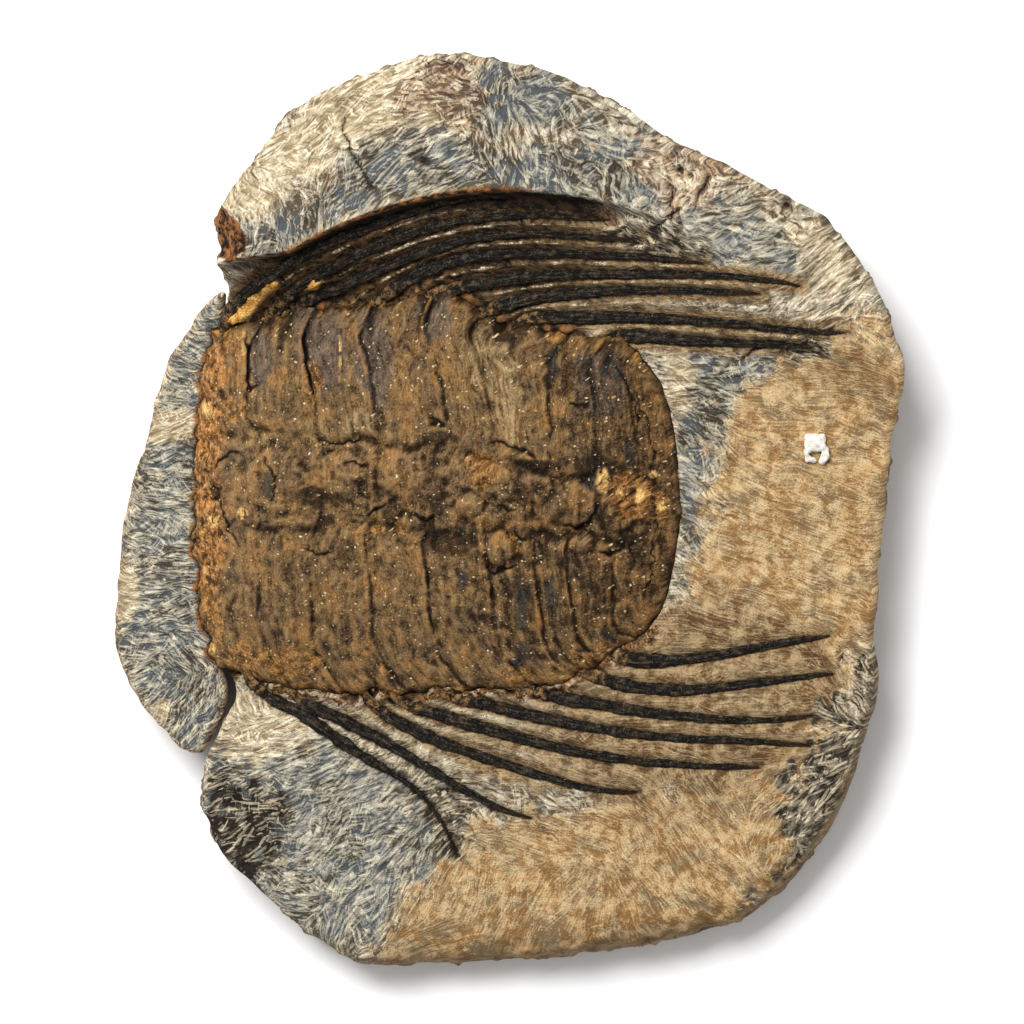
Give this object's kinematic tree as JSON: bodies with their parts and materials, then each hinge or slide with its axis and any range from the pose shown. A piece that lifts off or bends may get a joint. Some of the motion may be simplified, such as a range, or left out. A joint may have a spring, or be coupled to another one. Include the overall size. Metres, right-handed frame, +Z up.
{
  "type": "trilobite fossil",
  "caption": "Large trilobite fossil with long swept-back spines, lying on its carved stone matrix with a raised rim behind it.",
  "frame": {"origin": "middle of the outline, on the flat underside", "axes": "+X from the head to the tail, +Y towards the raised rim on the animal's right side, +Z up from the flat underside"},
  "size_m": [0.1592, 0.1834, 0.0326],
  "materials": {
    "matrix_stone": "matt stone, carved with fine pale tool strokes, tan to slate grey",
    "front_stone": "matt slate-grey stone with fine pale tool strokes",
    "fossil_shell": "dark brown, slightly glossy, with rust-orange patches",
    "fossil_spine": "near-black, slightly glossy",
    "white_mineral": "chalky white"
  },
  "bodies": {
    "root": {"matrix_slab": "matrix_stone", "matrix_front_piece": "front_stone", "trilobite_body": "fossil_shell", "right_spine_1": "fossil_spine", "right_spine_2": "fossil_spine", "right_spine_3": "fossil_spine", "right_spine_4": "fossil_spine", "right_spine_5": "fossil_spine", "right_spine_6": "fossil_spine", "right_spine_7": "fossil_spine", "right_spine_8": "fossil_spine", "left_spine_1": "fossil_spine", "left_spine_2": "fossil_spine", "left_spine_3": "fossil_spine", "left_spine_4": "fossil_spine", "left_spine_5": "fossil_spine", "left_spine_6": "fossil_spine", "left_spine_7": "fossil_spine", "left_spine_8": "fossil_spine", "white_chip": "white_mineral"}
  },
  "joints": []
}
